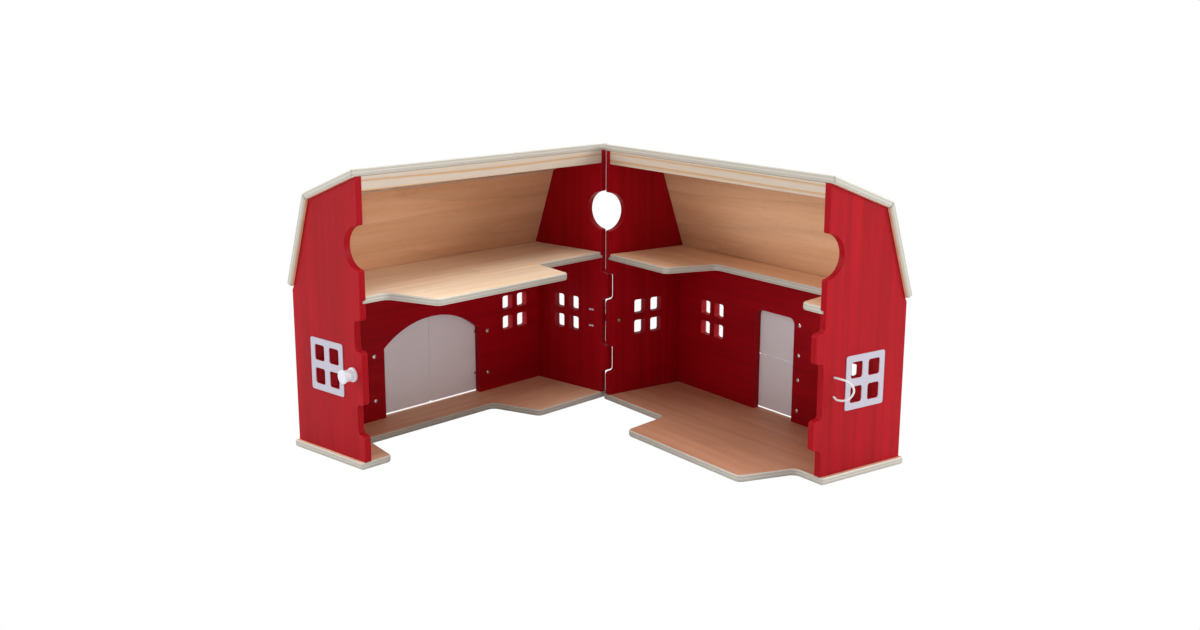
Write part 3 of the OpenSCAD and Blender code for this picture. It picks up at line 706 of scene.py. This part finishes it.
def cord_mesh(path, radius, sides=16):
    """A tube along a path, with a UV map that runs round it and along it in metres."""
    bm = bmesh.new()
    uv = bm.loops.layers.uv.new("cord_uv")
    rings, run, length = [], [], 0.0
    side_way = None
    for i, point in enumerate(path):
        ahead = (path[min(i + 1, len(path) - 1)] - path[max(i - 1, 0)]).normalized()
        if side_way is None:
            side_way = ahead.orthogonal().normalized()
        side_way = (side_way - ahead * side_way.dot(ahead)).normalized()
        up_way = ahead.cross(side_way)
        rings.append([bm.verts.new(point + radius * (math.cos(a) * side_way + math.sin(a) * up_way))
                      for a in (2 * math.pi * k / sides for k in range(sides))])
        length += (point - path[i - 1]).length if i else 0.0
        run.append(length)
    for i in range(len(rings) - 1):
        for k in range(sides):
            m = (k + 1) % sides
            face = bm.faces.new((rings[i][k], rings[i][m], rings[i + 1][m], rings[i + 1][k]))
            places = ((k, i), (k + 1, i), (k + 1, i + 1), (k, i + 1))
            for loop, (around, along) in zip(face.loops, places):
                loop[uv].uv = (around / sides, run[along])
    bm.faces.new(list(reversed(rings[0])))
    bm.faces.new(rings[-1])
    bmesh.ops.recalc_face_normals(bm, faces=bm.faces)
    return bm, length


class BARN_OT_loops(bpy.types.Operator):
    """Elastic loops: one free at the open end, one hooked over the rear knob"""

    bl_idname = "barn.loops"
    bl_label = "Elastic Loops"

    def execute(self, context):
        material = braided_elastic("white_elastic", (0.88, 0.88, 0.87))
        path = smooth_path(front_loop_points())
        bm, length = cord_mesh(path, CORD_DIAMETER / 2)
        front = finish_piece(bm, "front_loop_cord", "front_loop", material)
        bm, length = cord_mesh(smooth_path(rear_loop_points()), CORD_DIAMETER / 2)
        rear = new_piece(bm, "rear_loop_cord", material)
        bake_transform(rear)
        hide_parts("rear_loop")
        return {"FINISHED"}


# Where the photograph was taken from, in metres and degrees, with the barn's halves to either side
CAMERA_PLACE = (-1.0559, -1.4503, 0.5296)
CAMERA_PAN, CAMERA_TILT, CAMERA_ROLL = -35.516, -12.87, -0.162

# Each lamp's place, power in watts and width, all aimed at the middle of the barn
LAMPS = {"left": ((-2.45, 1.45, 1.3), 38.0, 1.4), "right": ((1.95, -2.0, 1.3), 46.0, 1.4),
         "over": ((0.0, -0.3, 3.2), 62.0, 2.4)}
LAMP_AIM = Vector((-0.05, -0.15, 0.15))
SOFT_LIGHT = 0.64


class BARN_OT_stage(bpy.types.Operator):
    """Pale floor, soft studio light and the photograph's camera"""

    bl_idname = "barn.stage"
    bl_label = "Stage"

    def execute(self, context):
        scene = context.scene
        scene.view_settings.view_transform = "Standard"
        self.camera(scene)
        self.floor()
        self.world(scene)
        for name, (place, power, size) in LAMPS.items():
            self.lamp(name, place, power, size)
        return {"FINISHED"}

    @staticmethod
    def camera(scene):
        data = bpy.data.cameras.new("photo_camera")
        data.sensor_fit = "HORIZONTAL"
        data.sensor_width = 36.0
        data.lens = scene.barn.lens
        data.clip_start = 0.01
        data.clip_end = 50.0
        camera = bpy.data.objects.new("photo_camera", data)
        scene.collection.objects.link(camera)
        turn = (Matrix.Rotation(math.radians(CAMERA_PAN), 3, "Z")
                @ Matrix.Rotation(math.radians(CAMERA_TILT), 3, "X")
                @ Matrix.Rotation(math.radians(CAMERA_ROLL), 3, "Y")
                @ Matrix.Rotation(math.radians(90), 3, "X"))
        camera.matrix_world = Matrix.Translation(CAMERA_PLACE) @ turn.to_4x4()
        scene.camera = camera

    @staticmethod
    def floor():
        bm = bmesh.new()
        bmesh.ops.create_grid(bm, x_segments=1, y_segments=1, size=14.0)
        mesh = bpy.data.meshes.new("studio_floor")
        bm.to_mesh(mesh)
        bm.free()
        floor = bpy.data.objects.new("studio_floor", mesh)
        bpy.context.scene.collection.objects.link(floor)
        nodes = Nodes("studio_white")
        nodes.shader.inputs["Base Color"].default_value = (0.8, 0.8, 0.8, 1)
        nodes.shader.inputs["Roughness"].default_value = 0.9
        nodes.shader.inputs["Specular IOR Level"].default_value = 0.1
        path = nodes.add("ShaderNodeLightPath")
        glow = nodes.add("ShaderNodeEmission", Strength=1.0)
        mixed = nodes.add("ShaderNodeMixShader")
        nodes.link(path.outputs["Is Camera Ray"], mixed.inputs["Fac"])
        nodes.link(nodes.shader.outputs["BSDF"], mixed.inputs[1])
        nodes.link(glow.outputs["Emission"], mixed.inputs[2])
        output = nodes.tree.nodes["Material Output"]
        nodes.link(mixed.outputs["Shader"], output.inputs["Surface"])
        mesh.materials.append(nodes.material)

    @staticmethod
    def world(scene):
        world = bpy.data.worlds.new("studio")
        scene.world = world
        world.use_nodes = True
        tree = world.node_tree
        background = tree.nodes["Background"]
        background.inputs["Color"].default_value = (1, 1, 1, 1)
        path = tree.nodes.new("ShaderNodeLightPath")
        level = tree.nodes.new("ShaderNodeMapRange")
        level.inputs["To Min"].default_value = SOFT_LIGHT
        level.inputs["To Max"].default_value = 1.0
        tree.links.new(path.outputs["Is Camera Ray"], level.inputs["Value"])
        tree.links.new(level.outputs["Result"], background.inputs["Strength"])

    @staticmethod
    def lamp(name, place, power, size):
        data = bpy.data.lights.new(name, "AREA")
        data.shape = "DISK"
        data.size = size
        data.energy = power
        lamp = bpy.data.objects.new(name, data)
        bpy.context.scene.collection.objects.link(lamp)
        aim = (LAMP_AIM - Vector(place)).to_track_quat("-Z", "Y")
        lamp.matrix_world = Matrix.Translation(place) @ aim.to_matrix().to_4x4()


OPERATORS = (BARN_OT_stage, BARN_OT_floors_and_lofts, BARN_OT_walls, BARN_OT_roof, BARN_OT_windows,
             BARN_OT_doors, BARN_OT_fittings, BARN_OT_knobs, BARN_OT_loops)


class BARN_PT_panel(bpy.types.Panel):
    """Lists the barn's operators and settings"""

    bl_idname = "BARN_PT_panel"
    bl_label = "Barn"
    bl_space_type = "VIEW_3D"
    bl_region_type = "UI"
    bl_category = "Barn"

    def draw(self, context):
        for name in BarnSettings.__annotations__:
            self.layout.prop(context.scene.barn, name)
        for operator in OPERATORS:
            self.layout.operator(operator.bl_idname)


CLASSES = (BarnSettings, *OPERATORS, BARN_PT_panel)


def register():
    for cls in CLASSES:
        bpy.utils.register_class(cls)
    bpy.types.Scene.barn = bpy.props.PointerProperty(type=BarnSettings)


def unregister():
    del bpy.types.Scene.barn
    for cls in reversed(CLASSES):
        bpy.utils.unregister_class(cls)


def main():
    register()
    for operator in OPERATORS:
        group, name = operator.bl_idname.split(".")
        getattr(getattr(bpy.ops, group), name)()


if __name__ == "__main__":
    main()
